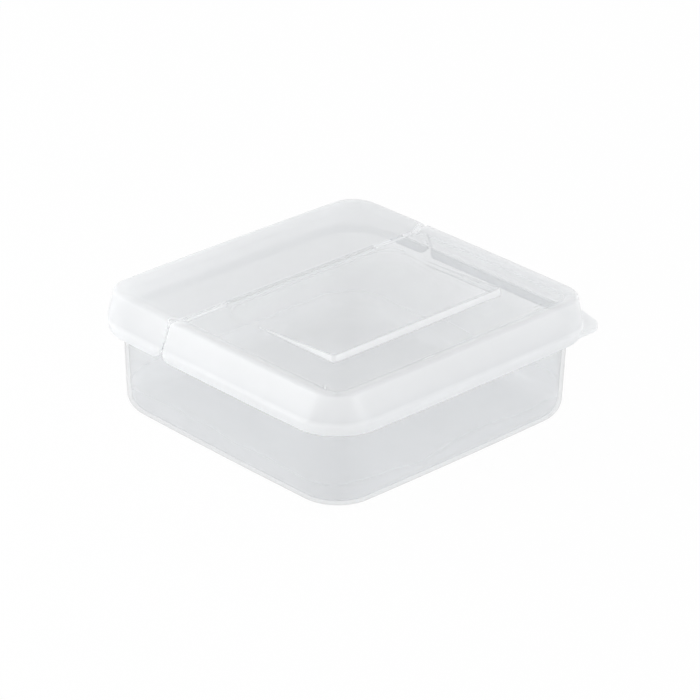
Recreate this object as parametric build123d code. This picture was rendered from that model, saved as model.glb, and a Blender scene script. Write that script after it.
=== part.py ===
from build123d import *
import os

# Sliced cheese container: a square tray with a one-piece lid, both moulded in
# natural polypropylene. The lid is cut by a living hinge into a narrow strip
# that stays on the tray and a wide flap that opens. Millimetres, +Z up. The
# origin is the centre of the tray's flat underside, the flap opens at -Y.

# Tray: outside half sizes at the rim, and its thin wall
TRAY_HALF_X = 49.8
TRAY_HALF_Y = 48.8
TRAY_CORNER = 14.3
TRAY_BOW = 0.6
TRAY_DRAFT = 0.8
TRAY_WALL = 1.1
TRAY_HEIGHT = 29.0
TRAY_FOOT_RADIUS = 5.1

# Rim flange that the lid grips
FLANGE_REACH = 1.5
FLANGE_THICK = 1.4
FLANGE_EDGE_RADIUS = 0.4

# Lid: outside half sizes at the widest level of its skirt
LID_HALF_X = 53.2
LID_HALF_Y = 51.9
LID_BOW = 0.5
LID_WALL = 1.1
SKIRT_LOW_Z = 25.4
SKIRT_WIDE_Z = 27.9
SKIRT_LIP_INSET = 0.5
SKIRT_SLOPE = 0.36
SKIRT_CORNER = 14.8

# Top of the lid: a raised rim all round a sunken flat
RIM_Z = 37.2
RIM_EDGE_RADIUS = 1.6
RIM_CORNER = 7.8
RIM_CREST_INSET = 4.7
RIM_CREST_CORNER = 6.4
LID_TOP_Z = 36.1
FLAT_INSET = 8.3
FLAT_CORNER = 3.6

# Inside of the skirt: a straight gripping band, then a ledge on the rim
GRIP_INSET = 1.3
SEAT_GAP = 0.05
LEDGE_WIDTH = 1.1

# Living hinge line between the strip and the flap
HINGE_Y = 18.4
SLIT_WIDTH = 1.0
WEB_HALF_LENGTH = 28.5
WEB_WIDTH = 1.8
WEB_THICK = 0.35
NOTCH_HALF_WIDTH = 1.4
STRIP_HEM_RADIUS = 4.5
FLAP_HEM_RADIUS = 1.5

# Sloping panel on the flap: sunk at the hinge side, proud at the free side
PANEL_HALF_X = 32.6
PANEL_FRONT_Y = -29.6
PANEL_BACK_Y = 15.6
PANEL_LEVEL_Y = 1.0
PANEL_FRONT_RISE = 2.0
PANEL_FRONT_CORNER = 1.2
PANEL_BACK_CORNER = 6.0
PANEL_LOW_Z = 31.2
PANEL_HIGH_Z = 41.0
SLOPE_MARGIN = 10.0

# Finger tab on the +X skirt, near the free corner of the flap
TAB_FRONT_Y = -49.9
TAB_BACK_Y = -20.0
TAB_REACH = 4.3
TAB_TAPER = 4.1
TAB_THICK = 1.6
TAB_LIFT = 0.2
TAB_CORNER = 5.0

# Size of blocks that only cut, larger than the whole container
CUT_SPAN = 300.0


# Plans: half sizes, and how far the sides swell between the corners
TRAY_PLAN = (TRAY_HALF_X, TRAY_HALF_Y, TRAY_BOW)
LID_PLAN = (LID_HALF_X, LID_HALF_Y, LID_BOW)


def outline(plan, inset, corner, z):
    """Rounded rectangle with bowed sides, drawn in by inset, at height z."""
    half_x, half_y, bow = plan
    hx = half_x - inset
    hy = half_y - inset
    cx = hx - bow
    cy = hy - bow
    sides = [
        ThreePointArc((-cx, -cy), (0, -hy), (cx, -cy)),
        ThreePointArc((cx, -cy), (hx, 0), (cx, cy)),
        ThreePointArc((cx, cy), (0, hy), (-cx, cy)),
        ThreePointArc((-cx, cy), (-hx, 0), (-cx, -cy)),
    ]
    face = make_face(sides)
    face = fillet(face.vertices(), corner)
    return Plane.XY.offset(z) * face


def stack(plan, levels):
    """Solid through outlines at (inset, corner, z) levels, from the lowest up."""
    return loft([outline(plan, inset, corner, z) for inset, corner, z in levels], ruled=True)


def edges_at(solid, z):
    """Edges of a solid that lie flat at height z."""
    return solid.edges().filter_by(lambda e: abs(e.bounding_box().min.Z - z) < 0.01
                                   and abs(e.bounding_box().max.Z - z) < 0.01)


def tray_block(inset, floor_z, top_z, foot_radius):
    """Drafted block of the tray's shape with a rounded foot."""
    def level(z):
        drawn_in = inset + TRAY_DRAFT * (1 - z / TRAY_HEIGHT)
        return (drawn_in, TRAY_CORNER - drawn_in, z)
    block = stack(TRAY_PLAN, [level(floor_z), level(top_z)])
    return fillet(edges_at(block, floor_z), foot_radius)


def base_tray():
    """Open tray with a small outward flange at its rim."""
    outside = tray_block(0, 0, TRAY_HEIGHT, TRAY_FOOT_RADIUS)
    cavity = tray_block(TRAY_WALL, TRAY_WALL, TRAY_HEIGHT + 1, TRAY_FOOT_RADIUS - TRAY_WALL)
    flange_low = TRAY_HEIGHT - FLANGE_THICK
    flange_corner = TRAY_CORNER + FLANGE_REACH
    flange = stack(TRAY_PLAN, [(-FLANGE_REACH, flange_corner, z) for z in (flange_low, TRAY_HEIGHT)])
    flange = fillet(edges_at(flange, TRAY_HEIGHT), FLANGE_EDGE_RADIUS)
    return outside + flange - cavity


def sunken_top(drop):
    """Shallow dish above the lid's flat top, lowered by drop."""
    rise = RIM_Z - LID_TOP_Z
    run = FLAT_INSET - RIM_CREST_INSET
    growth = RIM_CREST_CORNER - FLAT_CORNER
    levels = [(FLAT_INSET, FLAT_CORNER, LID_TOP_Z - drop),
              (FLAT_INSET - 2 * run, FLAT_CORNER + 2 * growth, LID_TOP_Z - drop + 2 * rise)]
    return stack(LID_PLAN, levels)


def skirt_level(z, depth):
    """Level of the skirt's sloping face at height z, at a depth inside its surface."""
    height = z - SKIRT_WIDE_Z
    tightening = (SKIRT_CORNER - RIM_CORNER) / (RIM_Z - SKIRT_WIDE_Z)
    return (SKIRT_SLOPE * height + depth, SKIRT_CORNER - tightening * height - depth, z)


def lid_outside():
    """Outer form of the whole lid, solid, with its raised rim."""
    lip = (SKIRT_LIP_INSET, SKIRT_CORNER - SKIRT_LIP_INSET, SKIRT_LOW_Z)
    form = stack(LID_PLAN, [lip, skirt_level(SKIRT_WIDE_Z, 0), skirt_level(RIM_Z, 0)])
    form = fillet(edges_at(form, RIM_Z), RIM_EDGE_RADIUS)
    return form - sunken_top(0)


def lid_cavity():
    """Hollow under the lid: gripping band, seat ledge and domed inside."""
    seat_z = TRAY_HEIGHT + SEAT_GAP
    ledge_inset = GRIP_INSET + LEDGE_WIDTH
    band = stack(LID_PLAN, [(GRIP_INSET, SKIRT_CORNER - GRIP_INSET, z) for z in (SKIRT_LOW_Z - 1, seat_z)])
    ledge_corner = SKIRT_CORNER - ledge_inset
    dome = stack(LID_PLAN, [(ledge_inset, ledge_corner, seat_z - 1), (ledge_inset, ledge_corner, seat_z),
                            skirt_level(RIM_Z - LID_WALL, LID_WALL)])
    return band + (dome - sunken_top(LID_WALL))


def panel_height(y):
    """Height of the panel's sloping face at a given y."""
    slope = PANEL_FRONT_RISE / (PANEL_LEVEL_Y - PANEL_FRONT_Y)
    return LID_TOP_Z + slope * (PANEL_LEVEL_Y - y)


def panel_prism(grow):
    """Upright prism of the panel's outline, grown by grow all round."""
    half = PANEL_HALF_X + grow
    front = PANEL_FRONT_Y - grow
    back = PANEL_BACK_Y + grow
    face = make_face(Polyline((-half, front), (half, front), (half, back), (-half, back), close=True))
    front_corners = face.vertices().sort_by(Axis.Y)[:2]
    face = fillet(front_corners, max(PANEL_FRONT_CORNER + grow, 0.4))
    back_corners = face.vertices().sort_by(Axis.Y)[-2:]
    face = fillet(back_corners, PANEL_BACK_CORNER + grow)
    return Plane.XY.offset(PANEL_LOW_Z) * extrude(face, PANEL_HIGH_Z - PANEL_LOW_Z)


def under_slope(drop):
    """Block whose upper side is the panel's slope, lowered by drop."""
    low_z = PANEL_LOW_Z - 1
    front = PANEL_FRONT_Y - SLOPE_MARGIN
    back = PANEL_BACK_Y + SLOPE_MARGIN
    corners = [(front, low_z), (back, low_z), (back, panel_height(back) - drop),
               (front, panel_height(front) - drop)]
    face = make_face(Polyline(*[(0, y, z) for y, z in corners], close=True))
    return extrude(face, LID_HALF_X, both=True, dir=(1, 0, 0))


def lid_moulding():
    """Whole lid before it is cut at the hinge line."""
    outside = lid_outside() - (panel_prism(0) - under_slope(0))
    outside = outside + (panel_prism(0) & under_slope(0))
    cavity = lid_cavity() - (panel_prism(LID_WALL) - under_slope(LID_WALL))
    cavity = cavity + (panel_prism(-LID_WALL) & under_slope(LID_WALL))
    return outside - cavity


def behind(y):
    """Large block behind the plane at y."""
    return Pos(0, y + CUT_SPAN / 2, 0) * Box(CUT_SPAN, CUT_SPAN, CUT_SPAN)


def hem_relief(y, towards, radius):
    """Material to cut from a skirt corner beside the slit to round its hem."""
    corner = Pos(0, y, SKIRT_LOW_Z) * Box(CUT_SPAN, 2 * radius, 2 * radius)
    wheel = Rot(0, 90, 0) * Cylinder(radius, 2 * CUT_SPAN)
    return corner - Pos(0, y + towards * radius, SKIRT_LOW_Z + radius) * wheel


def seam_cut():
    """Slit at the seam, wider round the web and opening to a notch in the rim."""
    slit = Pos(0, HINGE_Y, 0) * Box(CUT_SPAN, SLIT_WIDTH, CUT_SPAN)
    groove = Pos(0, HINGE_Y, 0) * Box(2 * WEB_HALF_LENGTH, WEB_WIDTH, CUT_SPAN)
    half = SLIT_WIDTH / 2
    widening = NOTCH_HALF_WIDTH - half
    top_z = 2 * RIM_Z - LID_TOP_Z
    corners = [(HINGE_Y - half, LID_TOP_Z), (HINGE_Y + half, LID_TOP_Z),
               (HINGE_Y + half + 2 * widening, top_z), (HINGE_Y - half - 2 * widening, top_z)]
    face = make_face(Polyline(*[(0, y, z) for y, z in corners], close=True))
    notch = extrude(face, LID_HALF_X, both=True, dir=(1, 0, 0))
    return slit + groove + notch


def rear_lid_strip(moulding):
    """Narrow rear part of the lid, which stays gripped on the tray."""
    strip = moulding & behind(HINGE_Y)
    strip = strip - seam_cut()
    return strip - hem_relief(HINGE_Y + SLIT_WIDTH / 2, 1, STRIP_HEM_RADIUS)


def finger_tab():
    """Flat tab that stands out of the +X skirt level with its hem."""
    x_root = LID_HALF_X - SKIRT_CORNER
    x_front = LID_HALF_X + TAB_REACH - TAB_TAPER
    x_back = LID_HALF_X + TAB_REACH
    low_z = SKIRT_LOW_Z + TAB_LIFT
    points = [(x_root, TAB_FRONT_Y), (x_front, TAB_FRONT_Y), (x_back, (TAB_FRONT_Y + TAB_BACK_Y) / 2),
              (x_front, TAB_BACK_Y), (x_root, TAB_BACK_Y)]
    face = make_face(Polyline(*points, close=True))
    face = fillet(face.vertices().sort_by(Axis.X)[-3:], TAB_CORNER)
    tab = Plane.XY.offset(low_z) * extrude(face, TAB_THICK)
    return tab - lid_outside()


def front_flap(moulding):
    """Wide front part of the lid, with its panel and finger tab."""
    flap = moulding - behind(HINGE_Y)
    flap = flap - seam_cut()
    flap = flap - hem_relief(HINGE_Y - SLIT_WIDTH / 2, -1, FLAP_HEM_RADIUS)
    return flap + finger_tab()


def hinge_web():
    """Thin film that joins the strip and the flap, flush with the top."""
    web = Box(2 * WEB_HALF_LENGTH, WEB_WIDTH, WEB_THICK)
    return Pos(0, HINGE_Y, LID_TOP_Z - WEB_THICK / 2) * web


lid = lid_moulding()
nodes = {
    "base_tray": base_tray(),
    "rear_lid_strip": rear_lid_strip(lid),
    "hinge_web": hinge_web(),
    "front_flap": front_flap(lid),
}

os.makedirs("parts", exist_ok=True)
for name, solid in nodes.items():
    box = solid.bounding_box()
    print(name, "solids", len(solid.solids()), "volume", round(solid.volume / 1000, 2), "cm3",
          "z", round(box.min.Z, 2), round(box.max.Z, 2))
    export_step(solid, f"parts/{name}.step")
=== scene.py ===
import math

import bmesh
import bpy
from mathutils import Matrix, Vector


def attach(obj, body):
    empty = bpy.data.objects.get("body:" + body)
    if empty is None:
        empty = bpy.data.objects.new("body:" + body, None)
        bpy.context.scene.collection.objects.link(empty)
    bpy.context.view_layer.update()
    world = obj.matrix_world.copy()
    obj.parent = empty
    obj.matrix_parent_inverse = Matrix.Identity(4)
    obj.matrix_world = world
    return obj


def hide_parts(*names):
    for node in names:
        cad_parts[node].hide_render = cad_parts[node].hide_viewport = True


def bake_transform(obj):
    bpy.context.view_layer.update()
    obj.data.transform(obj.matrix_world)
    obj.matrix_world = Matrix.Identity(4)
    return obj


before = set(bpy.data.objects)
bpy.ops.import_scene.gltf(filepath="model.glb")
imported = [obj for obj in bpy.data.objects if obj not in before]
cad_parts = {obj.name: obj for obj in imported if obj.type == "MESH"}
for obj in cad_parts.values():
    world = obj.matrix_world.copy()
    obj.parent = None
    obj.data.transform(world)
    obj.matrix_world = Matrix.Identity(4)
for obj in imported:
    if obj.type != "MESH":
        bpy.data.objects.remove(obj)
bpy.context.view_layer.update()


# Base tray: the open square box that holds the slices. Injection moulded in natural
# polypropylene, faintly frosted, with a rounded foot and a small flange round its rim
# that the lid grips.
MM = 0.001
TRAY_FLANGE_HALF_X = 51.3 * MM
TRAY_FLANGE_HALF_Y = 50.3 * MM
TRAY_FLANGE_CORNER = 15.8 * MM
TRAY_FLANGE_UNDER_Z = 27.9 * MM
TRAY_FLANGE_REACH = 1.5 * MM
TRAY_BOW = 0.6 * MM
TRAY_NECK_FILLET = 0.3 * MM
TRAY_WALL_DRAFT = 0.74 * MM
TRAY_FOOT_RADIUS = 5.1 * MM
TRAY_WALL = 1.1 * MM
TRAY_WALL_SHARES = (0.05, 0.92, 0.03)
TRAY_FLOOR_MARGIN = 2 * MM
RIM_ROUNDING = 0.25 * MM
RIM_ROUNDING_ANGLE = 62
RIM_ROUNDING_STEPS = 2
SMOOTH_ANGLE = 40
ROUND_STEPS = 8
CORNER_STEPS = 14
SIDE_CUTS = 11
UPRIGHT_NORMAL = 0.2
CLEAR_FLANGE_DEPTH = 1.5 * MM
CLOUD_DEPTH = 0.12
MARK_HALF_DEPTH = 3 * MM
MARK_SOFTNESS = 3.0
TRAY_TINT = (0.905, 0.912, 0.92, 1)
TRAY_CLEAR_TINT = (0.965, 0.97, 0.975, 1)
TRAY_OUTER_MILK = 0.2
TRAY_INNER_MILK = 0.3
INNER_MILK = 0.02
TRAY_GLOW = 0.6
TRAY_ROUGHNESS = 0.14
ROUGHNESS_CHANGE = 0.08
REFRACTION = 1.49
FRONT_GLOSS = 0.04
GLOSS_RISE = 5.0
CLOUD_SCALE = 38.0
CLOUD_DETAIL = 3.0
CLOUD_DULLNESS = 0.97
RIPPLE_SCALE = 24.0
RIPPLE_DETAIL = 1.0
RIPPLE_STRENGTH = 0.04
RIPPLE_HEIGHT = 0.3 * MM


def pick(kind, test):
    """Selects the points, edges or faces whose middle passes the test, in edit mode."""
    bpy.ops.mesh.select_mode(type=kind)
    bpy.ops.mesh.select_all(action="DESELECT")
    cage = bmesh.from_edit_mesh(bpy.context.object.data)
    if kind == "VERT":
        for point in cage.verts:
            point.select_set(test(point.co))
    elif kind == "EDGE":
        for edge in cage.edges:
            edge.select_set(test((edge.verts[0].co + edge.verts[1].co) / 2))
    else:
        for face in cage.faces:
            face.select_set(test(face.calc_center_median()))
    cage.select_flush_mode()
    bmesh.update_edit_mesh(bpy.context.object.data)


def start_plate(name, half_x, half_y, middle):
    """Flat rectangle at its size and place, left in edit mode."""
    bpy.ops.object.select_all(action="DESELECT")
    bpy.ops.mesh.primitive_plane_add(size=2, location=middle)
    plate = bpy.context.object
    plate.name = name
    plate.data.name = name
    plate.scale = (half_x, half_y, 1)
    bpy.ops.object.transform_apply(location=True, rotation=True, scale=True)
    bpy.ops.object.mode_set(mode="EDIT")
    return plate


def start_outline(name, half_x, half_y, corner, bow, z):
    """Rounded rectangle whose sides swell between its corners, left in edit mode as one face."""
    plate = start_plate(name, half_x - bow, half_y - bow, (0, 0, z))
    pick("VERT", lambda p: True)
    bpy.ops.mesh.bevel(affect="VERTICES", offset=corner, offset_type="OFFSET",
                       segments=CORNER_STEPS)
    bpy.ops.mesh.select_all(action="SELECT")
    bpy.ops.mesh.delete(type="ONLY_FACE")
    pick("EDGE", lambda p: abs(p.x) < MM or abs(p.y) < MM)
    bpy.ops.mesh.subdivide(number_cuts=SIDE_CUTS)
    for side in (Vector((1, 0, 0)), Vector((0, 1, 0)), Vector((-1, 0, 0)), Vector((0, -1, 0))):
        reach = half_x if side.x else half_y
        along = half_y if side.x else half_x
        middle = side * (reach - bow)
        pick("VERT", lambda p: (p - Vector((middle.x, middle.y, z))).length < 0.1 * MM)
        bpy.ops.transform.translate(value=side * bow, use_proportional_edit=True,
                                    proportional_edit_falloff="INVERSE_SQUARE",
                                    proportional_size=along)
    bpy.ops.mesh.select_all(action="SELECT")
    bpy.ops.mesh.edge_face_add()
    return plate


def turn_face(way):
    """Turns the outline's one face so that it looks up (1) or down (-1), and selects it."""
    pick("FACE", lambda p: True)
    if bmesh.from_edit_mesh(bpy.context.object.data).faces[:][0].normal.z * way < 0:
        bpy.ops.mesh.flip_normals()


def step_in(*steps):
    """Draws the selected face in and along its normal, step by step, down a moulding's profile."""
    for inward, onward in steps:
        bpy.ops.mesh.inset(thickness=inward, depth=onward, use_even_offset=True)


def arc_steps(radius, first, last, count):
    """Steps of an arc from one angle to another, as (inward, onward) moves of a profile."""
    turns = [math.radians(first + (last - first) * i / count) for i in range(count + 1)]
    return [(radius * (math.cos(a) - math.cos(b)), radius * (math.sin(b) - math.sin(a)))
            for a, b in zip(turns, turns[1:])]


def apply_modifier(piece, kind, **settings):
    """Adds a modifier with its settings and applies it at once."""
    bpy.ops.object.select_all(action="DESELECT")
    piece.select_set(True)
    bpy.context.view_layer.objects.active = piece
    modifier = piece.modifiers.new(kind.title(), kind)
    for setting, value in settings.items():
        setattr(modifier, setting, value)
    bpy.ops.object.modifier_apply(modifier=modifier.name)


def make_wall(piece, thickness):
    """Gives a moulded skin its wall thickness, on its inner side, and rounds the wall's edges."""
    apply_modifier(piece, "SOLIDIFY", thickness=thickness, offset=-1, use_even_offset=True,
                   use_quality_normals=True)
    apply_modifier(piece, "BEVEL", width=RIM_ROUNDING, segments=RIM_ROUNDING_STEPS, limit_method="ANGLE",
                   angle_limit=math.radians(RIM_ROUNDING_ANGLE), use_clamp_overlap=False)
    bpy.ops.object.shade_smooth_by_angle(angle=math.radians(SMOOTH_ANGLE))


tray = start_outline("tray_shell", TRAY_FLANGE_HALF_X, TRAY_FLANGE_HALF_Y, TRAY_FLANGE_CORNER,
                     TRAY_BOW, TRAY_FLANGE_UNDER_Z)
turn_face(-1)
wall_height = TRAY_FLANGE_UNDER_Z - TRAY_NECK_FILLET - TRAY_FOOT_RADIUS
step_in((TRAY_FLANGE_REACH - TRAY_NECK_FILLET, 0), (TRAY_NECK_FILLET, TRAY_NECK_FILLET))
step_in(*[(TRAY_WALL_DRAFT * share, wall_height * share) for share in TRAY_WALL_SHARES])
step_in(*arc_steps(TRAY_FOOT_RADIUS, 0, 90, ROUND_STEPS))
step_in((TRAY_FLOOR_MARGIN, 0))
bpy.ops.object.mode_set(mode="OBJECT")
make_wall(tray, TRAY_WALL)


class Socket:
    """One shader socket that can be added, subtracted and multiplied like a number."""

    def __init__(self, tree, plug=None):
        self.tree = tree
        self.plug = plug

    def node(self, kind, settings, inputs, output=0):
        """Makes a node: its settings first, then values or links for its inputs."""
        made = self.tree.nodes.new(kind)
        for name, value in settings.items():
            setattr(made, name, value)
        for name, value in inputs.items():
            if isinstance(value, Socket):
                self.tree.links.new(value.plug, made.inputs[name])
            else:
                made.inputs[name].default_value = value
        return Socket(self.tree, made.outputs[output])

    def math(self, operation, first, second):
        return self.node("ShaderNodeMath", {"operation": operation}, {0: first, 1: second})

    def __add__(self, other):
        return self.math("ADD", self, other)

    def __sub__(self, other):
        return self.math("SUBTRACT", self, other)

    def __rsub__(self, other):
        return self.math("SUBTRACT", other, self)

    def __mul__(self, other):
        return self.math("MULTIPLY", self, other)

    __radd__ = __add__
    __rmul__ = __mul__


def on_inner_skin(place, normal, top):
    """Whether a point lies on the inner side of a hollow piece that is closed at its top (1)
    or at its bottom (-1)."""
    if abs(normal.z) > UPRIGHT_NORMAL:
        return normal.z * top < 0
    return normal.x * place.x + normal.y * place.y < 0


def mark_milkiness(piece, milk_at):
    """Stores at each point of a piece how milky its plastic is."""
    store = piece.data.attributes.new("milkiness", "FLOAT", "POINT")
    for point, milk in zip(piece.data.vertices, store.data):
        milk.value = milk_at(point.co, point.normal)


def polypropylene(name, tint, clear_tint, glow_share, roughness, marks_and_glints=()):
    """Natural polypropylene: clear and milky plastic mixed in faint flow clouds, under a soft gloss."""
    material = bpy.data.materials.new(name)
    material.use_nodes = True
    tree = material.node_tree
    tree.nodes.clear()
    start = Socket(tree)
    place = start.node("ShaderNodeTexCoord", {}, {}, "Object")
    cloud = start.node("ShaderNodeTexNoise", {}, {"Vector": place, "Scale": CLOUD_SCALE,
                                                   "Detail": CLOUD_DETAIL})
    ripple = start.node("ShaderNodeTexNoise", {}, {"Vector": place, "Scale": RIPPLE_SCALE,
                                                    "Detail": RIPPLE_DETAIL})
    dull = tuple(c * CLOUD_DULLNESS for c in tint[:3]) + (1,)
    colour = start.node("ShaderNodeMix", {"data_type": "RGBA"},
                        {"Factor": cloud, "A": tint, "B": dull}, "Result")
    bump = start.node("ShaderNodeBump", {}, {"Height": ripple, "Strength": RIPPLE_STRENGTH,
                                             "Distance": RIPPLE_HEIGHT})
    skin_roughness = cloud * ROUGHNESS_CHANGE + (roughness - ROUGHNESS_CHANGE / 2)
    through = start.node("ShaderNodeBsdfTransparent", {}, {"Color": clear_tint})
    shine = start.node("ShaderNodeBsdfGlossy", {}, {"Roughness": skin_roughness, "Normal": bump})
    facing = start.node("ShaderNodeLayerWeight", {}, {"Blend": 0.5}, "Facing")
    fresnel = start.math("POWER", facing, GLOSS_RISE) * (1 - FRONT_GLOSS) + FRONT_GLOSS
    clear = start.node("ShaderNodeMixShader", {}, {0: fresnel, 1: through, 2: shine})
    milk = start.node("ShaderNodeAttribute", {"attribute_name": "milkiness"}, {}, "Fac")
    milk = milk + (cloud - 0.5) * CLOUD_DEPTH
    # Each entry whitens a soft dash with extra milkiness and may grey it; the glint entry is a painted
    # highlight.
    for middle, turn, half_length, half_width, extra_milk, greyness in marks_and_glints:
        local = start.node("ShaderNodeMapping", {"vector_type": "TEXTURE"}, {
            "Vector": place, "Location": [v * MM for v in middle],
            "Rotation": (0, 0, math.radians(turn)),
            "Scale": (half_length * MM, half_width * MM, MARK_HALF_DEPTH)})
        reach = start.node("ShaderNodeVectorMath", {"operation": "LENGTH"}, {0: local}, "Value")
        spot = start.math("MAXIMUM", start.math("MINIMUM", (1 - reach) * MARK_SOFTNESS, 1.0), 0.0)
        milk = milk + spot * extra_milk
        if greyness:
            grey = tuple(c * (1 - greyness) for c in tint[:3]) + (1,)
            colour = start.node("ShaderNodeMix", {"data_type": "RGBA"},
                                {"Factor": spot, "A": colour, "B": grey}, "Result")
    lit = start.node("ShaderNodeBsdfPrincipled", {}, {
        "Base Color": colour, "Roughness": skin_roughness, "Normal": bump, "IOR": REFRACTION})
    glowing = start.node("ShaderNodeBsdfTranslucent", {}, {"Color": tint})
    milky = start.node("ShaderNodeMixShader", {}, {0: glow_share, 1: lit, 2: glowing})
    body = start.node("ShaderNodeMixShader", {}, {0: milk, 1: clear, 2: milky})
    output = tree.nodes.new("ShaderNodeOutputMaterial")
    tree.links.new(body.plug, output.inputs["Surface"])
    return material


def tray_milk(place, normal):
    """The tray is a little milkier on its inner side, and its flange is clear."""
    if place.z > TRAY_FLANGE_UNDER_Z - CLEAR_FLANGE_DEPTH:
        return INNER_MILK
    if on_inner_skin(place, normal, -1):
        return TRAY_INNER_MILK
    return TRAY_OUTER_MILK


mark_milkiness(tray, tray_milk)
tray.data.materials.append(polypropylene("frosted_polypropylene", TRAY_TINT, TRAY_CLEAR_TINT,
                                         TRAY_GLOW, TRAY_ROUGHNESS))
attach(tray, "tray")
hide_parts("base_tray")


# Lid: one moulding in glossier natural polypropylene, with a raised rim round a sunken flat
# top and a plate on it that slopes towards the hinge. It is made whole here as a skin, and
# the seam then divides it into a fixed strip and an opening flap.
LID_HALF_X = 53.2 * MM
LID_HALF_Y = 51.9 * MM
SKIRT_CORNER = 14.8 * MM
RIM_CORNER = 7.8 * MM
LID_BOW = 0.5 * MM
LID_WALL = 1.1 * MM
SKIRT_WIDE_Z = 27.9 * MM
SKIRT_LOW_Z = 25.4 * MM
SKIRT_LIP_INSET = 0.5 * MM
SKIRT_CREASE = 0.5 * MM
SKIRT_CREASE_STEPS = 3
SKIRT_CUTS = 4
SKIRT_SLOPE = 0.36
RIM_Z = 37.2 * MM
RIM_EDGE_RADIUS = 1.6 * MM
RIM_EDGE_STEPS = 6
FLAT_Z = 36.1 * MM
RIM_FALL = [(0.2, 0), (0.8, -0.16), (1.0, -0.36), (1.0, -0.38), (0.8, -0.17), (0.5, -0.03), (0.8, 0)]
PANEL_HALF_X = 32.6 * MM
PANEL_FRONT_Y = -29.6 * MM
PANEL_BACK_Y = 15.6 * MM
PANEL_LEVEL_Y = 1.0 * MM
PANEL_RISE = 2.0 * MM
PANEL_SINK_SHARE = 0.3
PANEL_FRONT_CORNER = 1.2 * MM
PANEL_BACK_CORNER = 6.0 * MM
PANEL_FRONT_STEPS = 6
PANEL_BACK_STEPS = 12
PANEL_MARGIN = 1.0 * MM
PANEL_FOLD_SUPPORTS = (-1.2 * MM, 0, 1.2 * MM)
LID_TINT = (0.975, 0.98, 0.985, 1)
LID_CLEAR_TINT = (0.98, 0.984, 0.988, 1)
LID_FLAT_MILK = 0.18
LID_RIM_MILK = 0.7
LID_SKIRT_MILK = 0.82
LID_HEM_MILK = 1.0
HEM_INNER_MILK = 0.9
STRIP_FLAT_MILK = 0.7
LID_GLOW = 0.68
LID_ROUGHNESS = 0.12
TOUCH = 0.01 * MM
# Moulding marks, and in the second entry a painted highlight: middle in mm, turn in degrees, half
# length and half width in mm, extra milkiness and greyness.
MOULDING_MARKS_AND_GLINT = [
    ((-11.9, -45.2, 37.2), -5, 3.0, 0.45, 0.4, 0),
    # Painted highlight: a white dash of extra milkiness on the rim's crest near the front left corner,
    # where light glints.
    ((-44.9, -39.2, 37.2), 47, 2.0, 0.4, 0.4, 0),
    ((34.6, -41.8, 36.5), 5, 1.8, 0.35, 0.3, 0.3)]
RIM_CLOUD_INSET = 8.0 * MM
RIM_CLOUD_WIDTH = 4.0 * MM
PANEL_EDGE = [(0.45, 0), (0.15, 0.05), (0.1, 0.15), (0.25, 0.6), (0.1, 0.15), (0.2, 0.05), (1.0, 0)]
# Painted highlight: milkiness that whitens the plate's edge like the light along its near edges; edges
# facing further right than PANEL_RIGHT_NORMAL stay as milky as the flat.
PANEL_EDGE_PAINTED_HIGHLIGHT = 1.0
PANEL_RIGHT_NORMAL = 0.5

lid = start_outline("lid_skin", LID_HALF_X, LID_HALF_Y, SKIRT_CORNER, LID_BOW, SKIRT_WIDE_Z)
bpy.ops.mesh.delete(type="ONLY_FACE")
bpy.ops.mesh.select_all(action="SELECT")
bpy.ops.mesh.extrude_edges_move(TRANSFORM_OT_translate={"value": (0, 0, SKIRT_LOW_Z - SKIRT_WIDE_Z)})
bpy.ops.transform.resize(value=(1 - SKIRT_LIP_INSET / LID_HALF_X, 1 - SKIRT_LIP_INSET / LID_HALF_Y, 1),
                         center_override=(0, 0, SKIRT_LOW_Z))
bpy.ops.object.mode_set(mode="OBJECT")

lean = math.degrees(math.atan(SKIRT_SLOPE))
shoulder_z = RIM_Z - RIM_EDGE_RADIUS * (1 - math.sin(math.radians(lean)))
shoulder_inset = SKIRT_SLOPE * (shoulder_z - SKIRT_WIDE_Z)
shoulder_share = (shoulder_z - SKIRT_WIDE_Z) / (RIM_Z - SKIRT_WIDE_Z)
crown = start_outline("lid_crown", LID_HALF_X - shoulder_inset, LID_HALF_Y - shoulder_inset,
                      SKIRT_CORNER + (RIM_CORNER - SKIRT_CORNER) * shoulder_share, LID_BOW, shoulder_z)
turn_face(1)
step_in(*arc_steps(RIM_EDGE_RADIUS, lean, 90, RIM_EDGE_STEPS))
step_in(*[(inward * MM, onward * MM) for inward, onward in RIM_FALL])
bpy.ops.mesh.delete(type="ONLY_FACE")
bpy.ops.object.mode_set(mode="OBJECT")

middle_y = (PANEL_FRONT_Y + PANEL_BACK_Y) / 2
panel = start_plate("lid_panel", PANEL_HALF_X + PANEL_MARGIN,
                    (PANEL_BACK_Y - PANEL_FRONT_Y) / 2 + PANEL_MARGIN, (0, middle_y, FLAT_Z))
pick("VERT", lambda p: p.y < middle_y)
bpy.ops.mesh.bevel(affect="VERTICES", offset=PANEL_FRONT_CORNER + PANEL_MARGIN,
                   segments=PANEL_FRONT_STEPS)
pick("VERT", lambda p: p.y > middle_y)
bpy.ops.mesh.bevel(affect="VERTICES", offset=PANEL_BACK_CORNER + PANEL_MARGIN,
                   segments=PANEL_BACK_STEPS)
pick("FACE", lambda p: True)
tilt = math.atan(PANEL_RISE / (PANEL_LEVEL_Y - PANEL_FRONT_Y))
for inward, share in PANEL_EDGE:
    bpy.ops.mesh.inset(thickness=inward * MM, depth=0, use_even_offset=True)
    if share:
        bpy.ops.transform.rotate(value=tilt * share, orient_axis="X",
                                 center_override=(0, PANEL_LEVEL_Y, FLAT_Z))
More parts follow.
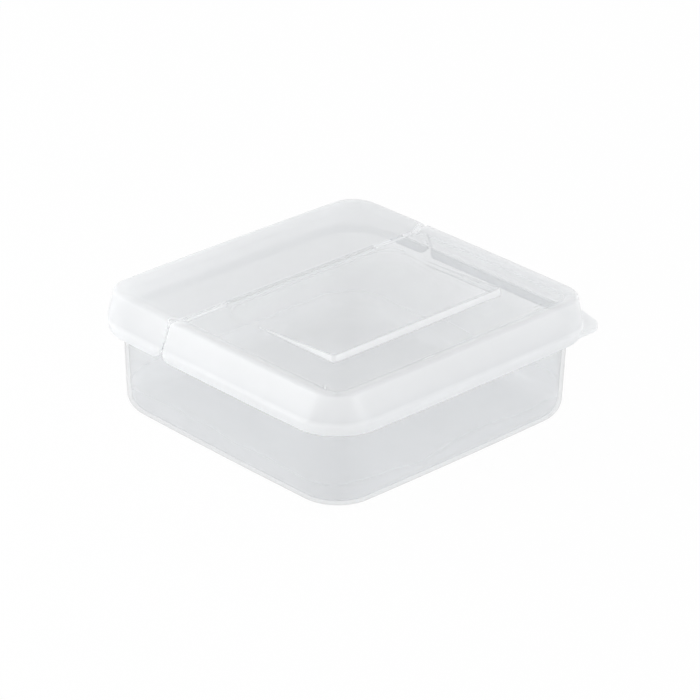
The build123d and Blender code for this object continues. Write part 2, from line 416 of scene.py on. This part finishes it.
for support in PANEL_FOLD_SUPPORTS:
    bpy.ops.mesh.select_all(action="SELECT")
    bpy.ops.mesh.bisect(plane_co=(0, PANEL_LEVEL_Y + support, FLAT_Z), plane_no=(0, 1, 0))
pick("VERT", lambda p: p.z < FLAT_Z - TOUCH / 10)
bpy.ops.transform.resize(value=(1, 1, PANEL_SINK_SHARE), center_override=(0, PANEL_LEVEL_Y, FLAT_Z))
bpy.ops.object.mode_set(mode="OBJECT")
for skin in (crown, panel, lid):
    skin.select_set(True)
bpy.context.view_layer.objects.active = lid
bpy.ops.object.join()
bpy.ops.object.mode_set(mode="EDIT")


def bridge_gap(low_z, high_z, cuts):
    """Joins the two open loops of the lid's skin that lie between two heights."""
    bpy.ops.mesh.select_mode(type="EDGE")
    bpy.ops.mesh.select_all(action="DESELECT")
    cage = bmesh.from_edit_mesh(lid.data)
    for edge in cage.edges:
        edge.select_set(edge.is_boundary and low_z < edge.verts[0].co.z < high_z)
    bmesh.update_edit_mesh(lid.data)
    bpy.ops.mesh.bridge_edge_loops(number_cuts=cuts)


bridge_gap(FLAT_Z - TOUCH, FLAT_Z + TOUCH, 0)
bridge_gap(SKIRT_WIDE_Z - TOUCH, shoulder_z + TOUCH, SKIRT_CUTS)
pick("EDGE", lambda p: abs(p.z - SKIRT_WIDE_Z) < TOUCH)
bpy.ops.mesh.bevel(affect="EDGES", offset=SKIRT_CREASE, segments=SKIRT_CREASE_STEPS)
bpy.ops.mesh.select_all(action="SELECT")
bpy.ops.mesh.normals_make_consistent(inside=False)
bpy.ops.object.mode_set(mode="OBJECT")


# Rear strip: the narrow part of the lid behind the seam. It stays gripped on the tray, and
# its hem is rounded off where the seam ends.
SEAM_Y = 18.4 * MM
SLIT_HALF = 0.5 * MM
SLIT_NARROWING = 0.03
NOTCH_SLOPE = 0.9 / 1.1
STRIP_HEM_RADIUS = 4.5 * MM
HEM_TURNS = (15, 30, 45, 60, 75)
SEAM_SUPPORTS = (0.4 * MM, 1.2 * MM)
SEAM_CLEAR_HALF_WIDTH = 0.7 * MM
SEAM_CLEAR_HALF_LENGTH = 29 * MM
STEEP_GAIN = 2.2


def cut_away(point, direction):
    """Cuts the skin at a plane and takes off what lies on the side the direction points to."""
    bpy.ops.mesh.select_all(action="SELECT")
    bpy.ops.mesh.bisect(plane_co=point, plane_no=direction, clear_outer=True)


def between(first, second, share):
    """Value on the way from the first to the second, with the share held between 0 and 1."""
    return first + (second - first) * min(max(share, 0), 1)


def steepness(normal):
    """How upright a skin stands, from 0 where it lies flat to 1 on the walls."""
    return min(STEEP_GAIN * (1 - abs(normal.z)), 1)


def lid_milk(place, normal):
    """The lid is clearest on the flap's flat, milkier on the strip and the rim, and whitest on
    the skirt and its hem. The plate's edge is whitened to full milkiness, except where it faces right, as
    a painted highlight of the light along its near edges."""
    outside = max(abs(place.x) - LID_HALF_X, abs(place.y) - LID_HALF_Y) + RIM_CLOUD_INSET
    flat = STRIP_FLAT_MILK if place.y > SEAM_Y else LID_FLAT_MILK
    level = between(flat, LID_RIM_MILK, outside / RIM_CLOUD_WIDTH)
    level = between(level, LID_SKIRT_MILK, steepness(normal))
    if place.z < SKIRT_WIDE_Z + MM:
        return LID_HEM_MILK if normal.x * place.x + normal.y * place.y > 0 else HEM_INNER_MILK
    beside_panel = abs(place.x) < PANEL_HALF_X + PANEL_MARGIN
    if beside_panel and PANEL_FRONT_Y - PANEL_MARGIN < place.y < PANEL_BACK_Y:
        # Painted highlight: the plate's edge turns fully milky white, except where it faces right.
        edge = PANEL_EDGE_PAINTED_HIGHLIGHT if normal.x < PANEL_RIGHT_NORMAL else flat
        level = between(flat, edge, steepness(normal))
    near_seam = abs(place.y - SEAM_Y) < SEAM_CLEAR_HALF_WIDTH and abs(place.x) < SEAM_CLEAR_HALF_LENGTH
    if near_seam or on_inner_skin(place, normal, 1):
        level = INNER_MILK
    return level


def lid_part(name, side, hem_radius):
    """Copy of the lid's skin on one side of the seam, with its notch and its rounded hem."""
    bpy.ops.object.select_all(action="DESELECT")
    part = lid.copy()
    part.data = lid.data.copy()
    part.name = name
    part.data.name = name
    bpy.context.scene.collection.objects.link(part)
    part.select_set(True)
    bpy.context.view_layer.objects.active = part
    bpy.ops.object.mode_set(mode="EDIT")
    edge_y = SEAM_Y + side * SLIT_HALF
    cut_away((0, edge_y, FLAT_Z), (0, -side, SLIT_NARROWING))
    cut_away((0, edge_y, FLAT_Z), (0, -side, NOTCH_SLOPE))
    for turn in HEM_TURNS:
        angle = math.radians(turn)
        outward = Vector((0, -side * math.cos(angle), -math.sin(angle)))
        centre = Vector((0, edge_y + side * hem_radius, SKIRT_LOW_Z + hem_radius))
        cut_away(centre + outward * hem_radius, outward)
    for support in SEAM_SUPPORTS:
        bpy.ops.mesh.select_all(action="SELECT")
        bpy.ops.mesh.bisect(plane_co=(0, edge_y + side * support, 0), plane_no=(0, 1, 0))
    bpy.ops.object.mode_set(mode="OBJECT")
    make_wall(part, LID_WALL)
    return part


glossy = polypropylene("glossy_polypropylene", LID_TINT, LID_CLEAR_TINT, LID_GLOW,
                       LID_ROUGHNESS, MOULDING_MARKS_AND_GLINT)
strip = lid_part("lid_strip", 1, STRIP_HEM_RADIUS)
mark_milkiness(strip, lid_milk)
strip.data.materials.append(glossy)
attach(strip, "lid")
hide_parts("rear_lid_strip")


# Front flap: the wide part of the lid that opens on the living hinge. Moulded with the
# strip, it carries the sloping plate and a flat finger tab near its free corner.
FLAP_HEM_RADIUS = 1.5 * MM
TAB_FRONT_Y = -49.9 * MM
TAB_BACK_Y = -20.0 * MM
TAB_ROOT_X = 37.6 * MM
TAB_REACH_X = 57.5 * MM
TAB_TAPER = 4.1 * MM
TAB_THICK = 1.6 * MM
TAB_LOW_Z = 25.6 * MM
TAB_CORNER_CUT = 3.8 * MM
TAB_MIDDLE_CUT = 1.3 * MM
TAB_EDGE_RADIUS = 0.4 * MM
TAB_EDGE_ANGLE = 60
TAB_EDGE_STEPS = 3
PLUG_MARGIN = 1.0 * MM
TAB_CORNER_STEPS = 8
TAB_MIDDLE_STEPS = 4
TAB_ROOT_DEPTH = 0.7 * MM


def raise_solid(height):
    """Makes a flat outline a solid of a height, with its faces outwards."""
    bpy.ops.mesh.select_all(action="SELECT")
    bpy.ops.mesh.extrude_region_move(TRANSFORM_OT_translate={"value": (0, 0, height)})
    bpy.ops.mesh.select_all(action="SELECT")
    bpy.ops.mesh.normals_make_consistent(inside=False)


flap = lid_part("lid_flap", -1, FLAP_HEM_RADIUS)
tab_y = (TAB_FRONT_Y + TAB_BACK_Y) / 2
tab = start_plate("finger_tab", (TAB_REACH_X - TAB_ROOT_X) / 2, (TAB_BACK_Y - TAB_FRONT_Y) / 2,
                  ((TAB_REACH_X + TAB_ROOT_X) / 2, tab_y, TAB_LOW_Z))
bpy.ops.mesh.select_all(action="SELECT")
bpy.ops.mesh.delete(type="ONLY_FACE")
pick("EDGE", lambda p: p.x > TAB_REACH_X - MM)
bpy.ops.mesh.subdivide(number_cuts=1)
pick("VERT", lambda p: p.x > TAB_REACH_X - MM and abs(p.y - tab_y) > MM)
bpy.ops.transform.translate(value=(-TAB_TAPER, 0, 0))
bpy.ops.mesh.select_all(action="SELECT")
bpy.ops.mesh.edge_face_add()
pick("VERT", lambda p: p.x > TAB_REACH_X - TAB_TAPER - MM and abs(p.y - tab_y) > MM)
bpy.ops.mesh.bevel(affect="VERTICES", offset=TAB_CORNER_CUT, segments=TAB_CORNER_STEPS)
pick("VERT", lambda p: p.x > TAB_REACH_X - TOUCH)
bpy.ops.mesh.bevel(affect="VERTICES", offset=TAB_MIDDLE_CUT, segments=TAB_MIDDLE_STEPS)
raise_solid(TAB_THICK)
bpy.ops.object.mode_set(mode="OBJECT")
apply_modifier(tab, "BEVEL", width=TAB_EDGE_RADIUS, segments=TAB_EDGE_STEPS, limit_method="ANGLE",
               angle_limit=math.radians(TAB_EDGE_ANGLE))

plug = start_outline("plug", LID_HALF_X - TAB_ROOT_DEPTH, LID_HALF_Y - TAB_ROOT_DEPTH,
                     SKIRT_CORNER - TAB_ROOT_DEPTH, LID_BOW, TAB_LOW_Z - PLUG_MARGIN)
raise_solid(TAB_THICK + 2 * PLUG_MARGIN)
bpy.ops.object.mode_set(mode="OBJECT")
apply_modifier(tab, "BOOLEAN", operation="DIFFERENCE", object=plug, solver="EXACT")
apply_modifier(flap, "BOOLEAN", operation="UNION", object=tab, solver="EXACT")
bpy.ops.object.shade_smooth_by_angle(angle=math.radians(SMOOTH_ANGLE))
for spare in (plug, tab, lid):
    bpy.data.objects.remove(spare)
mark_milkiness(flap, lid_milk)
flap.data.materials.clear()
flap.data.materials.append(glossy)
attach(flap, "flap")
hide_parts("front_flap")


# Hinge film: the part of the moulding that is thinned to a flexible film in the middle of the
# seam. It joins the strip and the flap.
FILM_HALF_LENGTH = 28.5 * MM
FILM_HALF_WIDTH = 0.62 * MM
FILM_THICK = 0.35 * MM
FILM_EDGE_RADIUS = 0.1 * MM
FILM_EDGE_STEPS = 2
FILM_CUTS = 5
FILM_MILK = 0.4
FILM_ROUGHNESS = 0.15

film = start_plate("hinge_film", FILM_HALF_LENGTH, FILM_HALF_WIDTH, (0, SEAM_Y, FLAT_Z - FILM_THICK))
raise_solid(FILM_THICK)
bpy.ops.mesh.bevel(affect="EDGES", offset=FILM_EDGE_RADIUS, segments=FILM_EDGE_STEPS)
for cut in range(-FILM_CUTS, FILM_CUTS + 1):
    bpy.ops.mesh.select_all(action="SELECT")
    bpy.ops.mesh.bisect(plane_co=(0, SEAM_Y + cut * FILM_HALF_WIDTH / (FILM_CUTS + 1), 0),
                        plane_no=(0, 1, 0))
bpy.ops.object.mode_set(mode="OBJECT")
bpy.ops.object.shade_smooth_by_angle(angle=math.radians(SMOOTH_ANGLE))
mark_milkiness(film, lambda place, normal: FILM_MILK)
film.data.materials.append(polypropylene("clear_film", LID_TINT, LID_CLEAR_TINT, LID_GLOW,
                                         FILM_ROUGHNESS))
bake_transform(film)
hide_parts("hinge_web")


# Floor: the plain white table that the container stands on. It is not part of the object, and
# it stays white to the camera while it still takes the container's soft shadow.
FLOOR_HALF = 2.0
FLOOR_DROP = 0.02 * MM
FLOOR_WHITENESS = 0.97
FLOOR_COLOUR = (0.9, 0.9, 0.9, 1)
WHITE = (1, 1, 1, 1)


def backdrop_rays(start):
    """1 where the eye sees the backdrop, straight, in a gloss or through clear plastic."""
    seen = start.node("ShaderNodeLightPath", {}, {}, "Is Camera Ray")
    mirrored = start.node("ShaderNodeLightPath", {}, {}, "Is Glossy Ray")
    through = start.node("ShaderNodeLightPath", {}, {}, "Is Transmission Ray")
    return start.math("MINIMUM", seen + mirrored + through, 1.0)


bpy.ops.object.select_all(action="DESELECT")
bpy.ops.mesh.primitive_plane_add(size=2 * FLOOR_HALF, location=(0, 0, -FLOOR_DROP))
floor = bpy.context.object
floor.name = "floor"
floor_material = bpy.data.materials.new("white_table")
floor_material.use_nodes = True
floor_material.node_tree.nodes.clear()
start = Socket(floor_material.node_tree)
seen = backdrop_rays(start)
matt = start.node("ShaderNodeBsdfDiffuse", {}, {"Color": FLOOR_COLOUR})
glow = start.node("ShaderNodeEmission", {}, {"Color": WHITE})
surface = start.node("ShaderNodeMixShader", {}, {0: seen * FLOOR_WHITENESS, 1: matt, 2: glow})
output = floor_material.node_tree.nodes.new("ShaderNodeOutputMaterial")
floor_material.node_tree.links.new(surface.plug, output.inputs["Surface"])
floor.data.materials.append(floor_material)


# Light: an even pale studio, brighter towards the horizon. Low soft lamps on the left, in front,
# at the side and behind light up the edges of the clear plastic, and a high one lights the top.
SKY_LEVEL = 0.9
ZENITH_SHARE = 0.7
LAMP_AIM = Vector((0, 0, 0.02))
# Lamps: name, place and side in metres, and power in watts.
LAMPS = [
    ("left_softbox", (-0.38, 0.18, 0.1), 0.25, 0.72),
    ("front_softbox", (0.15, -0.7, 0.1), 0.3, 0.85),
    ("back_softbox", (-0.15, 0.75, 0.3), 0.6, 0.85),
    ("side_softbox", (0.8, -0.05, 0.3), 0.6, 0.5),
    ("top_softbox", (-0.35, 0.6, 0.65), 0.9, 1.2)]

world = bpy.data.worlds.new("studio")
bpy.context.scene.world = world
world.use_nodes = True
world.node_tree.nodes.clear()
start = Socket(world.node_tree)
seen = backdrop_rays(start)
direction = start.node("ShaderNodeTexCoord", {}, {}, "Generated")
height = start.node("ShaderNodeSeparateXYZ", {}, {0: direction}, "Z")
horizon = start.node("ShaderNodeBackground", {}, {"Color": WHITE, "Strength": SKY_LEVEL})
zenith = start.node("ShaderNodeBackground", {}, {"Color": WHITE,
                                                  "Strength": SKY_LEVEL * ZENITH_SHARE})
sky = start.node("ShaderNodeMixShader", {}, {0: start.math("MAXIMUM", height, 0.0), 1: horizon, 2: zenith})
backdrop = start.node("ShaderNodeBackground", {}, {"Color": WHITE, "Strength": 1.0})
studio = start.node("ShaderNodeMixShader", {}, {0: seen, 1: sky, 2: backdrop})
output = world.node_tree.nodes.new("ShaderNodeOutputWorld")
world.node_tree.links.new(studio.plug, output.inputs["Surface"])


def add_lamp(name, place, side, power):
    """Square soft lamp that faces the container."""
    lamp = bpy.data.lights.new(name, "AREA")
    lamp.energy = power
    lamp.size = side
    holder = bpy.data.objects.new(name, lamp)
    holder.location = place
    holder.rotation_euler = (LAMP_AIM - Vector(place)).to_track_quat("-Z", "Y").to_euler()
    bpy.context.scene.collection.objects.link(holder)


for lamp_name, lamp_place, lamp_side, lamp_power in LAMPS:
    add_lamp(lamp_name, lamp_place, lamp_side, lamp_power)


# Camera: it looks at the container's near corner from the left of its opening side, from the
# fitted place, so that the view has the photograph's angle and framing.
CAMERA_TARGET = Vector((-1.82, -3.9, 20.46)) * MM
CAMERA_AZIMUTH = -43.97
CAMERA_ELEVATION = 26.06
CAMERA_ROLL = 0.83
CAMERA_DISTANCE = 0.9693
FOCAL_PIXELS = 3416.4
IMAGE_PIXELS = 700
SENSOR_WIDTH = 36

azimuth = math.radians(CAMERA_AZIMUTH)
elevation = math.radians(CAMERA_ELEVATION)
back = Vector((math.sin(azimuth) * math.cos(elevation), -math.cos(azimuth) * math.cos(elevation),
               math.sin(elevation)))
right = Vector((0, 0, 1)).cross(back).normalized()
up = back.cross(right)
rolled_right = math.cos(math.radians(CAMERA_ROLL)) * right + math.sin(math.radians(CAMERA_ROLL)) * up
rolled_up = back.cross(rolled_right)
camera = bpy.data.objects.new("camera", bpy.data.cameras.new("camera"))
camera.data.sensor_width = SENSOR_WIDTH
camera.data.lens = FOCAL_PIXELS / IMAGE_PIXELS * SENSOR_WIDTH
placing = Matrix((rolled_right, rolled_up, back)).transposed().to_4x4()
placing.translation = CAMERA_TARGET + back * CAMERA_DISTANCE
camera.matrix_world = placing
bpy.context.scene.collection.objects.link(camera)
bpy.context.scene.camera = camera
bpy.context.scene.view_settings.view_transform = "Standard"
